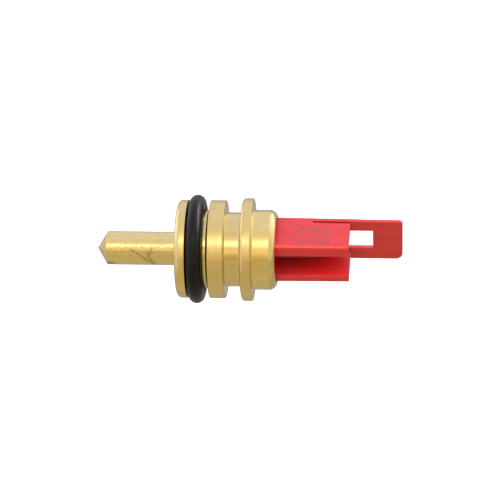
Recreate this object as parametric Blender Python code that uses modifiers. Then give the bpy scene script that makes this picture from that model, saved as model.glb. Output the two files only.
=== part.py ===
"""Plug-in immersion temperature sensor for a boiler, as an assembly.

A turned brass body carries the probe tip, an O-ring groove, a groove for the
retaining clip and a seating flange. A moulded two-pole connector is held in
its collar by a rolled lip. Inside, a thermistor bead sits in the probe tip
and its two leads run back to the connector pins.

The sensor lies along X, probe tip at -X and connector mouth at +X. +Z is up:
it is the connector's printed top face. -Y is the connector's slotted front
and +Y is the side with the latch tongue. Lengths below are millimetres.
A pair named _X, _Y or _Z is a span along that axis; a pair named _R is an
inner and an outer radius.
"""

import math

import bmesh
import bpy
from mathutils import Matrix, Vector

MM = 0.001

# ---------------------------------------------------------------- dimensions
GAP = 0.03  # between potted or pushed-in pieces and what surrounds them
WIRE_GAP = 1.6 * GAP  # around leads and sleeves
FIT_GAP = 0.04  # around the bead and the shrink tubes
OVERSHOOT = 1.0  # how far a cutter runs past what it cuts
FACE_OFFSET = 0.01  # small shift of a cutter's face from the face beside it
CUTTER_HALF = 2.0  # half thickness of the plates that trim a side view

# turned body, outside
TIP_X = -22.925
CONE_X = -21.395
PROBE_FLANGE_X = (-10.775, -9.195)
MIDDLE_FLANGE_X = (-5.855, -3.495)
SEAT_FLANGE_X = (-1.005, 0.575)
COLLAR_END_X = 4.235
PROBE_R = 2.53
FLANGE_R = 7.4
SEAT_R = 7.75
COLLAR_R = 6.03
CLIP_GROOVE_R = 5.6
RING_GROOVE_R = 5.87
PROBE_CORNER_R = 0.8
PROBE_CHAMFER = 0.06
MIDDLE_CHAMFERS = (0.2, 0.07)  # at -X, at +X
SEAT_CORNER_R = 0.48
SEAT_CHAMFER = 0.08

# turned body, bores and lip
POCKET_R = 1.9
POCKET_APEX_X = -21.15
POCKET_END_X = -20.05
CHAMBER_X = -8.25
CHAMBER_R = 4.2
BASE_SEAT_X = 0.7
BASE_SEAT_R = 5.4
LIP_X = 3.335
LIP_R = 5.0
LIP_SLOPE = (0.27, 0.07)  # end of the slope inside: past LIP_X, outside LIP_R
LIP_MOUTH_DEPTH = 0.13
LIP_ROUND = (1.15, 0.95)  # along X, across

# O-ring
RING_X = -7.85
RING_MAJOR_R = 7.05
RING_MINOR_R = 1.15

# connector housing
SPIGOT_END_X = -2.45
SPIGOT_R = 4.14
SPIGOT_CHAMFER = 0.3
BASE_X = (0.755, 3.255)
BASE_R = 5.35
BLOCK_X = (2.75, 15.065)
BLOCK_Y = (-3.58, 3.65)
BLOCK_Z = (-3.225, 3.46)
BLOCK_EDGE = 0.22
DRAFT = 0.06  # each side, from the base to the mouth
CAVITY_X = 3.75
CAVITY_Y = (-2.60, 2.34)
CAVITY_Z = (-1.98, 2.38)
CAVITY_CUT_X = (CAVITY_X, BLOCK_X[1] + OVERSHOOT)
FRONT_SLOT_TOP_Z = 1.58
TONGUE_SLOT_X = 9.46

# latch tongue
TONGUE_Y = (2.85, 3.59)
TONGUE_Z = (-3.68, 3.26)
TONGUE_END_X = 22.955
TONGUE_CLEARANCE = 0.05
TONGUE_CHAMFER = 0.12
TONGUE_LOW_CORNER_R = 1.0
TONGUE_HIGH_CORNER_R = 0.5
WINDOW_X = (14.35, 18.46)
WINDOW_Z = (-1.645, 1.59)
TONGUE_ROOT_R = (TONGUE_Y[1] - TONGUE_Y[0]) / 2
HINGE_X = TONGUE_SLOT_X + TONGUE_CLEARANCE + TONGUE_ROOT_R
HINGE_Y = (TONGUE_Y[0] + TONGUE_Y[1]) / 2
FACE_START_X = HINGE_X - 2.0  # where the face cutter begins, short of the root

# pins
PIN_Y = 1.27
PIN_HALF = 0.32
PIN_TIP_X = 11.35
PIN_TIP_HALF = 0.14
PIN_TAPER_X = PIN_TIP_X - 0.7
PIN_BLANK_HALF = 1.0  # half thickness before the height is trimmed
SHOULDER_X = (-2.4, -1.2)
SHOULDER_HALF = 0.5
TAIL_HALF = 0.25
TAIL_X = -5.05

# half outlines of a pin as (x, half size), seen along Z and along Y
PIN_WIDTH = [
    (TAIL_X, TAIL_HALF),
    (SHOULDER_X[0], TAIL_HALF),
    (SHOULDER_X[0], SHOULDER_HALF),
    (SHOULDER_X[1], SHOULDER_HALF),
    (SHOULDER_X[1], PIN_HALF),
    (PIN_TAPER_X, PIN_HALF),
    (PIN_TIP_X, PIN_TIP_HALF),
]
PIN_HEIGHT = [
    (TAIL_X - OVERSHOOT, TAIL_HALF),
    (SHOULDER_X[0] - 0.1, TAIL_HALF),
    (SHOULDER_X[0] + 0.1, PIN_HALF),
    (PIN_TAPER_X, PIN_HALF),
    (PIN_TIP_X + 0.4, 0.03),
]

# joints of the leads to the pins
FERRULE_X = (-6.25, -3.85)
FERRULE_R = (0.38, 0.58)
SHRINK_X = (-7.25, -3.25)
SHRINK_R = (0.61, 0.80)

# leads, from the ferrule to the thermistor
LEAD_RADIUS = 0.15
LEAD_X = (-18.55, -5.25)
SLEEVE_R = (0.20, 0.38)
SLEEVE_X = (-15.75, -6.55)
SLEEVE_BORE_OVERSHOOT = 0.3
LEAD_PARALLEL_Y = 0.46
LEAD_CHIP_Y = 0.36
# the two bends: start at -X, length along X, straight pieces in each
PIN_BEND_X, PIN_BEND_LENGTH, PIN_BEND_PIECES = -9.45, 2.1, 8
CHIP_BEND_X, CHIP_BEND_LENGTH, CHIP_BEND_PIECES = -17.55, 1.1, 3

# thermistor
CHIP_X = (-18.75, -17.75)
CHIP_Y = (-0.18, 0.18)
CHIP_Z = (-0.5, 0.5)
# bead outline as (x, radius)
BEAD_PROFILE = [
    (-16.15, 0.0), (-16.15, 0.78), (-16.45, 0.95), (-17.15, 1.05),
    (-18.65, 1.05), (-19.2, 0.86), (-19.55, 0.48), (-19.65, 0.0),
]

# fillings
LINER_X = (-14.75, -8.35)
LINER_R = (1.55, 1.84)
COMPOUND_END_X = -14.85
COMPOUND_WALL_GAP = 0.05
COMPOUND_SHOULDER_GAP = 0.02
COMPOUND_APEX_GAP = 0.1
RESIN_X = (-8.2, -2.5)
RESIN_RADIUS = 4.16

# the cutters that make room for the leads and sleeves
LEAD_CUT_X = (LEAD_X[0] - 0.05, COMPOUND_END_X + 0.7)
SLEEVE_CUT_X = (SLEEVE_X[0] - GAP, SHRINK_X[0] + 0.5)

# segments around each kind of round piece
BODY_STEPS = 48
SMALL_STEPS = 24
JOINT_STEPS = 16
RING_SECTION_STEPS = 12
WIRE_BEVEL_RESOLUTION = 2

# welding distances, in metres
TURN_WELD = 1e-6
CAP_WELD = 1e-7

# the two poles: y of the pin, label
POLES = ((-PIN_Y, "a"), (PIN_Y, "b"))

# local x, y and normal of a flat outline become the columns
TO_XY = Matrix(((1, 0, 0), (0, 1, 0), (0, 0, 1)))
TO_XZ = Matrix(((1, 0, 0), (0, 0, -1), (0, 1, 0)))
TO_YZ = Matrix(((0, 0, 1), (1, 0, 0), (0, 1, 0)))

# --------------------------------------------------------------------- scene
for old in list(bpy.data.objects):
    bpy.data.objects.remove(old, do_unlink=True)

parts = bpy.data.collections.new("temperature_sensor")
cutters = bpy.data.collections.new("cutters")
bpy.context.scene.collection.children.link(parts)
bpy.context.scene.collection.children.link(cutters)


def material(name, colour, roughness, metallic=0.0):
    made = bpy.data.materials.new(name)
    made.use_nodes = True
    shader = made.node_tree.nodes["Principled BSDF"]
    shader.inputs["Base Color"].default_value = (*colour, 1.0)
    shader.inputs["Roughness"].default_value = roughness
    shader.inputs["Metallic"].default_value = metallic
    return made


BRASS = material("brass", colour=(0.72, 0.52, 0.20), roughness=0.32, metallic=1.0)
RUBBER = material("epdm_rubber", colour=(0.02, 0.02, 0.022), roughness=0.45)
RED = material("red_nylon", colour=(0.62, 0.03, 0.035), roughness=0.38)
TIN = material("tinned_brass", colour=(0.75, 0.74, 0.70), roughness=0.3, metallic=1.0)
CERAMIC = material("thermistor_ceramic", colour=(0.08, 0.08, 0.09), roughness=0.6)
GLASS = material("bead_glaze", colour=(0.10, 0.22, 0.14), roughness=0.2)
NICKEL = material("nickel_wire", colour=(0.66, 0.65, 0.62), roughness=0.3, metallic=1.0)
PTFE = material("ptfe", colour=(0.85, 0.85, 0.82), roughness=0.5)
COPPER = material("tinned_copper", colour=(0.72, 0.66, 0.58), roughness=0.35, metallic=1.0)
SHRINK = material("shrink_tube", colour=(0.03, 0.03, 0.03), roughness=0.6)
AMBER = material("polyimide", colour=(0.55, 0.28, 0.04), roughness=0.3)
PASTE = material("thermal_compound", colour=(0.80, 0.80, 0.78), roughness=0.7)
RESIN = material("epoxy_resin", colour=(0.09, 0.08, 0.07), roughness=0.4)


# ------------------------------------------------------------------- shapes
# Every shape made without a finish is a helper that cuts or trims a part.
def place(name, mesh, finish):
    made = bpy.data.objects.new(name, mesh)
    if finish is None:
        cutters.objects.link(made)
        made.hide_render = True
        made.display_type = "WIRE"
    else:
        mesh.materials.append(finish)
        parts.objects.link(made)
    return made


def turned(name, profile, finish=None, steps=SMALL_STEPS, y=0.0, closed=False):
    """Turn a profile of (x, radius) about X; its outer side runs towards -X."""
    count = len(profile)
    edges = [(i, i + 1) for i in range(count - 1)]
    if closed:
        edges.append((count - 1, 0))
    mesh = bpy.data.meshes.new(name)
    mesh.from_pydata([(radius * MM, 0.0, x * MM) for x, radius in profile], edges, [])
    made = place(name, mesh, finish)
    made.rotation_euler = (0.0, math.pi / 2, 0.0)
    made.location = (0.0, y * MM, 0.0)
    spin = made.modifiers.new("turn", "SCREW")
    spin.axis = "Z"
    spin.angle = 2 * math.pi
    spin.steps = spin.render_steps = steps
    spin.use_merge_vertices = True
    spin.merge_threshold = TURN_WELD
    spin.use_smooth_shade = True
    return made


def cylinder(name, x_span, radius, finish=None, steps=SMALL_STEPS, y=0.0):
    start, end = x_span
    profile = [(end, 0.0), (end, radius), (start, radius), (start, 0.0)]
    return turned(name, profile, finish, steps, y)


def tube(name, x_span, radii, finish, steps=SMALL_STEPS, y=0.0):
    start, end = x_span
    inner, outer = radii
    profile = [(start, inner), (end, inner), (end, outer), (start, outer)]
    return turned(name, profile, finish, steps, y, closed=True)


def box(name, x_span, y_span, z_span, finish=None, draft=0.0):
    """A box over three spans. draft narrows its +X end on all four sides."""
    shape = bmesh.new()
    bmesh.ops.create_cube(shape, size=1.0)
    for vertex in shape.verts:
        at_far_end = vertex.co.x > 0
        for axis, (low, high) in enumerate((x_span, y_span, z_span)):
            side = high if vertex.co[axis] > 0 else low
            if axis > 0 and at_far_end:
                side -= math.copysign(draft, side)
            vertex.co[axis] = side * MM
    mesh = bpy.data.meshes.new(name)
    shape.to_mesh(mesh)
    shape.free()
    return place(name, mesh, finish)


def as_mesh(curve_object, finish):
    """The curve's evaluated shape as a mesh with its caps welded; the curve is removed."""
    bpy.context.view_layer.update()
    graph = bpy.context.evaluated_depsgraph_get()
    mesh = bpy.data.meshes.new_from_object(curve_object.evaluated_get(graph))
    shape = bmesh.new()
    shape.from_mesh(mesh)
    bmesh.ops.remove_doubles(shape, verts=shape.verts, dist=CAP_WELD)
    bmesh.ops.recalc_face_normals(shape, faces=shape.faces)
    shape.to_mesh(mesh)
    shape.free()
    mesh.materials.clear()
    name = curve_object.name
    world = curve_object.matrix_world.copy()
    curve = curve_object.data
    bpy.data.objects.remove(curve_object, do_unlink=True)
    bpy.data.curves.remove(curve)
    made = place(name, mesh, finish)
    made.matrix_world = world
    return made


def add_polyline(curve, points, cyclic=False):
    """Add a straight-sided spline through 3D points in millimetres."""
    spline = curve.splines.new("POLY")
    spline.points.add(len(points) - 1)
    for spline_point, point in zip(spline.points, points):
        spline_point.co = (*(value * MM for value in point), 1.0)
    spline.use_cyclic_u = cyclic


def plate(name, outlines, half, turn, centre, finish=None):
    """A flat outline, holes included, extruded half each way along its normal.

    turn is the 3x3 that carries the outline's plane into place.
    """
    curve = bpy.data.curves.new(name, "CURVE")
    curve.dimensions = "2D"
    curve.fill_mode = "BOTH"
    curve.extrude = half * MM
    for outline in outlines:
        add_polyline(curve, [(*point, 0.0) for point in outline], cyclic=True)
    made = bpy.data.objects.new(name, curve)
    cutters.objects.link(made)
    made.matrix_world = Matrix.Translation(Vector(centre) * MM) @ turn.to_4x4()
    return as_mesh(made, finish)


def wire(name, path, radius, finish=None):
    curve = bpy.data.curves.new(name, "CURVE")
    curve.dimensions = "3D"
    curve.bevel_depth = radius * MM
    curve.bevel_resolution = WIRE_BEVEL_RESOLUTION
    curve.use_fill_caps = True
    add_polyline(curve, path)
    made = bpy.data.objects.new(name, curve)
    cutters.objects.link(made)
    return as_mesh(made, finish)


def boolean(target, tool, operation="DIFFERENCE"):
    step = target.modifiers.new(f"{operation.lower()}_{tool.name}", "BOOLEAN")
    step.operation = operation
    step.solver = "EXACT"
    step.object = tool


def arc(centre, radius, start, end, count):
    """Points on an arc of count pieces, angles in degrees."""
    angles = [math.radians(start + (end - start) * i / count) for i in range(count + 1)]
    return [
        (centre[0] + radius * math.cos(angle), centre[1] + radius * math.sin(angle))
        for angle in angles
    ]


def grown(span, margin):
    return (span[0] - margin, span[1] + margin)


def around(centre, half):
    return (centre - half, centre + half)


def both_sides(half_outline):
    """Close a half outline with its mirror image."""
    return half_outline + [(x, -half) for x, half in reversed(half_outline)]


# --------------------------------------------------------- body and O-ring
def rolled_lip():
    """A quarter ellipse from the collar's end face to its outside."""
    along, across = LIP_ROUND
    angles = [math.radians(degrees) for degrees in range(0, 91, 18)]
    return [
        (
            COLLAR_END_X - along * (1 - math.cos(angle)),
            COLLAR_R - across * (1 - math.sin(angle)),
        )
        for angle in angles
    ]


def flange_corner(start, flange_radius, corner, count):
    """The rounded -X corner of a flange."""
    return arc((start + corner, flange_radius - corner), corner, 90, 180, count)


def brass_body():
    probe_start, probe_end = PROBE_FLANGE_X
    middle_start, middle_end = MIDDLE_FLANGE_X
    seat_start, seat_end = SEAT_FLANGE_X
    start_chamfer, end_chamfer = MIDDLE_CHAMFERS
    profile = [
        # bore, from the blind end to the lip
        (POCKET_APEX_X, 0.0),
        (POCKET_END_X, POCKET_R),
        (CHAMBER_X, POCKET_R),
        (CHAMBER_X, CHAMBER_R),
        (BASE_SEAT_X, CHAMBER_R),
        (BASE_SEAT_X, BASE_SEAT_R),
        (LIP_X, BASE_SEAT_R),
        (LIP_X + LIP_SLOPE[0], LIP_R + LIP_SLOPE[1]),
        (COLLAR_END_X - LIP_MOUTH_DEPTH, LIP_R),
        *rolled_lip(),
        (seat_end, COLLAR_R),
        # seating flange
        (seat_end, SEAT_R - SEAT_CHAMFER),
        (seat_end - SEAT_CHAMFER, SEAT_R),
        *flange_corner(seat_start, SEAT_R, SEAT_CORNER_R, count=3),
        # clip groove
        (seat_start, CLIP_GROOVE_R),
        (middle_end, CLIP_GROOVE_R),
        # middle flange
        (middle_end, FLANGE_R - end_chamfer),
        (middle_end - end_chamfer, FLANGE_R),
        (middle_start + start_chamfer, FLANGE_R),
        (middle_start, FLANGE_R - start_chamfer),
        # O-ring groove
        (middle_start, RING_GROOVE_R),
        (probe_end, RING_GROOVE_R),
        # flange next to the probe
        (probe_end, FLANGE_R - PROBE_CHAMFER),
        (probe_end - PROBE_CHAMFER, FLANGE_R),
        *flange_corner(probe_start, FLANGE_R, PROBE_CORNER_R, count=4),
        # probe
        (probe_start, PROBE_R),
        (CONE_X, PROBE_R),
        (TIP_X, 0.0),
    ]
    turned("brass_body", profile, BRASS, BODY_STEPS)


def o_ring():
    bpy.ops.mesh.primitive_torus_add(
        major_radius=RING_MAJOR_R * MM,
        minor_radius=RING_MINOR_R * MM,
        major_segments=BODY_STEPS,
        minor_segments=RING_SECTION_STEPS,
        location=(RING_X * MM, 0.0, 0.0),
        rotation=(0.0, math.pi / 2, 0.0),
    )
    ring = bpy.context.object
    ring.name = ring.data.name = "o_ring"
    for home in list(ring.users_collection):
        home.objects.unlink(ring)
    parts.objects.link(ring)
    ring.data.materials.append(RUBBER)
    ring.data.shade_smooth()


# ---------------------------------------------------------------- connector
def housing_block():
    block = box("housing_block", BLOCK_X, BLOCK_Y, BLOCK_Z, draft=DRAFT)
    edges = block.modifiers.new("edges", "BEVEL")
    edges.width = BLOCK_EDGE * MM
    edges.segments = 2
    edges.limit_method = "ANGLE"
    return block


def cavity_cutter():
    """The plug cavity and the open front channel, as one outline."""
    channel_y = BLOCK_Y[0] - OVERSHOOT
    outline = [
        (channel_y, CAVITY_Z[0]),
        (CAVITY_Y[1], CAVITY_Z[0]),
        (CAVITY_Y[1], CAVITY_Z[1]),
        (CAVITY_Y[0], CAVITY_Z[1]),
        (CAVITY_Y[0], FRONT_SLOT_TOP_Z),
        (channel_y, FRONT_SLOT_TOP_Z),
    ]
    start, end = CAVITY_CUT_X
    centre = ((end + start) / 2, 0.0, 0.0)
    return plate("cavity_cutter", [outline], (end - start) / 2, TO_YZ, centre)


def tongue_space_cutter():
    """Opens the tongue's side from the slot's end to the mouth."""
    return box(
        "tongue_space_cutter",
        (TONGUE_SLOT_X, CAVITY_CUT_X[1]),
        (CAVITY_Y[1] - FACE_OFFSET, BLOCK_Y[1] + OVERSHOOT),
        grown(BLOCK_Z, OVERSHOOT),
    )


def connector_housing():
    profile = [
        (BASE_X[1], 0.0),
        (BASE_X[1], BASE_R),
        (BASE_X[0], BASE_R),
        (BASE_X[0], SPIGOT_R),
        (SPIGOT_END_X + SPIGOT_CHAMFER, SPIGOT_R),
        (SPIGOT_END_X, SPIGOT_R - SPIGOT_CHAMFER),
        (SPIGOT_END_X, 0.0),
    ]
    housing = turned("connector_housing", profile, RED, BODY_STEPS)
    boolean(housing, housing_block(), "UNION")
    boolean(housing, cavity_cutter())
    boolean(housing, tongue_space_cutter())

    hole_start = SPIGOT_END_X - OVERSHOOT
    hole_half = PIN_HALF + GAP
    for y, label in POLES:
        pin_hole = box(
            f"pin_hole_cutter_{label}",
            (hole_start, CAVITY_X + OVERSHOOT),
            around(y, hole_half),
            around(0.0, hole_half),
        )
        boolean(housing, pin_hole)
        shoulder_hole = box(
            f"shoulder_cutter_{label}",
            (hole_start, SHOULDER_X[1] + GAP),
            around(y, SHOULDER_HALF + GAP),
            around(0.0, hole_half + FACE_OFFSET),
        )
        boolean(housing, shoulder_hole)


def tongue_face_cutter():
    """The tongue's side view, with rounded corners at its end and the window."""
    low, high = grown(TONGUE_Z, -FACE_OFFSET)
    low_r, high_r = TONGUE_LOW_CORNER_R, TONGUE_HIGH_CORNER_R
    face = [
        (FACE_START_X, high),
        (FACE_START_X, low),
        *arc((TONGUE_END_X - low_r, low + low_r), low_r, 270, 360, count=5),
        *arc((TONGUE_END_X - high_r, high - high_r), high_r, 0, 90, count=4),
    ]
    window = [
        (WINDOW_X[0], WINDOW_Z[0]),
        (WINDOW_X[0], WINDOW_Z[1]),
        (WINDOW_X[1], WINDOW_Z[1]),
        (WINDOW_X[1], WINDOW_Z[0]),
    ]
    centre = (0.0, HINGE_Y, 0.0)
    return plate("tongue_face_cutter", [face, window], CUTTER_HALF, TO_XZ, centre)


def latch_tongue():
    # section along X, with a round root on the hinge line
    section = [
        *arc((HINGE_X, HINGE_Y), TONGUE_ROOT_R, 90, 270, count=8),
        (TONGUE_END_X - TONGUE_CHAMFER, TONGUE_Y[0]),
        (TONGUE_END_X, TONGUE_Y[0] + TONGUE_CHAMFER),
        (TONGUE_END_X, TONGUE_Y[1] - TONGUE_CHAMFER),
        (TONGUE_END_X - TONGUE_CHAMFER, TONGUE_Y[1]),
    ]
    half = (TONGUE_Z[1] - TONGUE_Z[0]) / 2
    centre = (0.0, 0.0, (TONGUE_Z[1] + TONGUE_Z[0]) / 2)
    tongue = plate("latch_tongue", [section], half, TO_XY, centre, RED)
    boolean(tongue, tongue_face_cutter(), "INTERSECT")


def terminal_pin(y, label):
    centre = (0.0, y, 0.0)
    pin = plate(
        f"terminal_pin_{label}", [both_sides(PIN_WIDTH)], PIN_BLANK_HALF, TO_XY, centre, TIN
    )
    height = plate(
        f"pin_height_cutter_{label}", [both_sides(PIN_HEIGHT)], CUTTER_HALF, TO_XZ, centre
    )
    boolean(pin, height, "INTERSECT")


# -------------------------------------------------------------------- leads
def ease(t):
    t = min(1.0, max(0.0, t))
    return t * t * (3 - 2 * t)


def lead_y(x):
    """A lead's distance from the axis: apart at the pins, close in the pocket, closer at the chip."""
    spread = ease((x - PIN_BEND_X) / PIN_BEND_LENGTH)
    pinch = ease((CHIP_BEND_X + CHIP_BEND_LENGTH - x) / CHIP_BEND_LENGTH)
    apart = LEAD_PARALLEL_Y + (PIN_Y - LEAD_PARALLEL_Y) * spread
    return apart - (LEAD_PARALLEL_Y - LEAD_CHIP_Y) * pinch


def bend_stations(start, length, pieces):
    return [start + length * i / pieces for i in range(pieces + 1)]


def lead_path(pin_y, x_span):
    """The lead's centre line over a span, on the side of the axis that pin_y is on."""
    start, end = x_span
    bends = bend_stations(PIN_BEND_X, PIN_BEND_LENGTH, PIN_BEND_PIECES)
    bends += bend_stations(CHIP_BEND_X, CHIP_BEND_LENGTH, CHIP_BEND_PIECES)
    stations = sorted({start, end, *(x for x in bends if start < x < end)})
    return [(x, math.copysign(lead_y(x), pin_y), 0.0) for x in stations]


def lead(y, label):
    """The bare wire, its sleeve, and the ferrule and shrink tube at the pin."""
    wire(f"lead_wire_{label}", lead_path(y, LEAD_X), LEAD_RADIUS, NICKEL)
    bore, outside = SLEEVE_R
    sleeve = wire(f"lead_sleeve_{label}", lead_path(y, SLEEVE_X), outside, PTFE)
    bore_path = lead_path(y, grown(SLEEVE_X, SLEEVE_BORE_OVERSHOOT))
    boolean(sleeve, wire(f"sleeve_bore_{label}", bore_path, bore))
    tube(f"crimp_ferrule_{label}", FERRULE_X, FERRULE_R, COPPER, JOINT_STEPS, y)
    tube(f"shrink_tube_{label}", SHRINK_X, SHRINK_R, SHRINK, JOINT_STEPS, y)


# -------------------------------------------------- thermistor and fillings
def thermistor_bead(lead_cutters):
    bead = turned("thermistor_bead", BEAD_PROFILE, GLASS)
    chip_space = [grown(span, GAP) for span in (CHIP_X, CHIP_Y, CHIP_Z)]
    boolean(bead, box("chip_cutter", *chip_space))
    for tool in lead_cutters:
        boolean(bead, tool)


def bead_cutter():
    """The bead enlarged: two points at each end move along X, all off-axis points outwards."""
    middle_count = len(BEAD_PROFILE) - 4
    shifts = [FIT_GAP] * 2 + [0.0] * middle_count + [-FIT_GAP] * 2
    profile = [
        (x + shift, radius + FIT_GAP if radius > 0 else 0.0)
        for (x, radius), shift in zip(BEAD_PROFILE, shifts)
    ]
    return turned("bead_cutter", profile)


def tip_compound(lead_cutters, sleeve_cutters):
    radius = POCKET_R - COMPOUND_WALL_GAP
    profile = [
        (COMPOUND_END_X, 0.0),
        (COMPOUND_END_X, radius),
        (POCKET_END_X + COMPOUND_SHOULDER_GAP, radius),
        (POCKET_APEX_X + COMPOUND_APEX_GAP, 0.0),
    ]
    compound = turned("tip_compound", profile, PASTE)
    for tool in [bead_cutter()] + lead_cutters + sleeve_cutters:
        boolean(compound, tool)


def resin_fill(sleeve_cutters):
    resin = cylinder("resin_fill", RESIN_X, RESIN_RADIUS, RESIN, BODY_STEPS)
    for (y, label), sleeve_cutter in zip(POLES, sleeve_cutters):
        shrink_cutter = cylinder(
            f"shrink_cutter_{label}",
            grown(SHRINK_X, GAP),
            SHRINK_R[1] + FIT_GAP,
            steps=JOINT_STEPS,
            y=y,
        )
        boolean(resin, shrink_cutter)
        boolean(resin, sleeve_cutter)
        tail_cutter = box(
            f"tail_cutter_{label}",
            (SHRINK_X[1] - 0.3, RESIN_X[1] + 0.5),
            around(y, TAIL_HALF + GAP),
            around(0.0, TAIL_HALF + GAP),
        )
        boolean(resin, tail_cutter)


def path_cutters(name, x_span, radius):
    """One cutter along each lead."""
    return [wire(f"{name}_{label}", lead_path(y, x_span), radius) for y, label in POLES]


# ----------------------------------------------------------------- assembly
brass_body()
o_ring()
connector_housing()
latch_tongue()
for pole_y, pole_label in POLES:
    terminal_pin(pole_y, pole_label)
    lead(pole_y, pole_label)

lead_tools = path_cutters("lead_cutter", LEAD_CUT_X, LEAD_RADIUS + WIRE_GAP)
sleeve_tools = path_cutters("sleeve_cutter", SLEEVE_CUT_X, SLEEVE_R[1] + WIRE_GAP)
box("thermistor_chip", CHIP_X, CHIP_Y, CHIP_Z, CERAMIC)
thermistor_bead(lead_tools)
tip_compound(lead_tools, sleeve_tools)
tube("pocket_liner", LINER_X, LINER_R, AMBER)
resin_fill(sleeve_tools)
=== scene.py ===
import itertools
import math

import bmesh
import bpy
from mathutils import Matrix, Vector


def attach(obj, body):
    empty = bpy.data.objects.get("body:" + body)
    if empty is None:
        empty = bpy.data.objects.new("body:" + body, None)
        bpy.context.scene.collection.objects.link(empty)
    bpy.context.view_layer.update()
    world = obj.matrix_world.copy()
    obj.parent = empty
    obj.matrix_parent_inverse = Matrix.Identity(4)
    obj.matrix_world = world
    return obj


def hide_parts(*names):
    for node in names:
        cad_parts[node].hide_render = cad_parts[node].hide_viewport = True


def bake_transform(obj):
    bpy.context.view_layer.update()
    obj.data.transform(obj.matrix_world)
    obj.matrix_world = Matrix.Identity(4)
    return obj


MM = 0.001

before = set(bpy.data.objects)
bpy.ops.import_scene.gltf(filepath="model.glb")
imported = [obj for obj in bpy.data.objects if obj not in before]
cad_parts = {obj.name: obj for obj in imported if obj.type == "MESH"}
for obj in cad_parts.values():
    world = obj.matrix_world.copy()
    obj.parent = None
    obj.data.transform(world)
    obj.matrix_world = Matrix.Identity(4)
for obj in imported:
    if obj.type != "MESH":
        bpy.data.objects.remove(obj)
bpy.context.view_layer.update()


# ------------------------------------------------------------------ geometry
def mm(value):
    return value * MM


def add_object(name, data):
    obj = bpy.data.objects.new(name, data)
    bpy.context.scene.collection.objects.link(obj)
    return obj


def add_piece(name, mesh, material, body="sensor", replaces=()):
    obj = add_object(name, mesh)
    mesh.materials.append(material)
    if body:
        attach(obj, body)
    if replaces:
        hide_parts(*replaces)
    return obj


def fillet(points, steps=6):
    """Rounds the corners (u, v, radius) of a polyline, with this many steps per quarter turn."""
    out = []
    for i, (u, v, radius) in enumerate(points):
        if radius <= 0:
            out.append((u, v))
            continue
        here = Vector((u, v))
        before = Vector(points[i - 1][:2]) - here
        after = Vector(points[(i + 1) % len(points)][:2]) - here
        to_before, to_after = before.normalized(), after.normalized()
        half = to_before.angle(to_after) / 2
        if half > math.radians(89):  # nearly straight
            out.append((u, v))
            continue
        tangent = min(radius / math.tan(half), before.length * 0.49, after.length * 0.49)
        fitted = tangent * math.tan(half)
        centre = here + (to_before + to_after).normalized() * (fitted / math.sin(half))
        start = here + to_before * tangent - centre
        end = here + to_after * tangent - centre
        sweep = start.angle(end)
        side = 1 if start.x * end.y - start.y * end.x > 0 else -1
        count = max(2, int(steps * sweep / (math.pi / 2) + 0.5))
        for k in range(count + 1):
            turn = side * sweep * k / count
            cos, sin = math.cos(turn), math.sin(turn)
            out.append(
                (centre.x + start.x * cos - start.y * sin, centre.y + start.x * sin + start.y * cos)
            )
    return out


def write_smooth(bm, mesh, sharp):
    """Writes the bmesh to the mesh, smooth except at edges sharper than this many degrees."""
    bmesh.ops.recalc_face_normals(bm, faces=bm.faces)
    for face in bm.faces:
        face.smooth = True
    bm.to_mesh(mesh)
    bm.free()
    mesh.set_sharp_from_angle(angle=math.radians(sharp))
    return mesh


def lathe(name, profile, segments, sharp=35.0):
    """Turns a loop of (x, r), or a line that starts and ends on the axis, about X."""
    bm = bmesh.new()
    rings = []
    for x, r in profile:
        if abs(r) < 1e-9:
            rings.append([bm.verts.new((mm(x), 0.0, 0.0))])
            continue
        turns = [2 * math.pi * k / segments for k in range(segments)]
        rings.append(
            [bm.verts.new((mm(x), mm(r) * math.cos(t), mm(r) * math.sin(t))) for t in turns]
        )
    pairs = list(zip(rings[:-1], rings[1:]))
    if len(rings[0]) > 1:
        pairs.append((rings[-1], rings[0]))
    for a, b in pairs:
        for k in range(segments):
            after = (k + 1) % segments
            if len(a) == 1:
                bm.faces.new((a[0], b[k], b[after]))
            elif len(b) == 1:
                bm.faces.new((a[k], b[0], a[after]))
            else:
                bm.faces.new((a[k], b[k], b[after], a[after]))
    return write_smooth(bm, bpy.data.meshes.new(name), sharp)


def applied(obj):
    """The object's mesh with its modifiers applied; the object is removed."""
    bpy.context.view_layer.update()
    graph = bpy.context.evaluated_depsgraph_get()
    mesh = bpy.data.meshes.new_from_object(obj.evaluated_get(graph))
    data = obj.data
    bpy.data.objects.remove(obj, do_unlink=True)
    if isinstance(data, bpy.types.Curve):
        bpy.data.curves.remove(data)
    return mesh


def weight_normals(obj):
    obj.modifiers.new("normals", "WEIGHTED_NORMAL").keep_sharp = True


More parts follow.
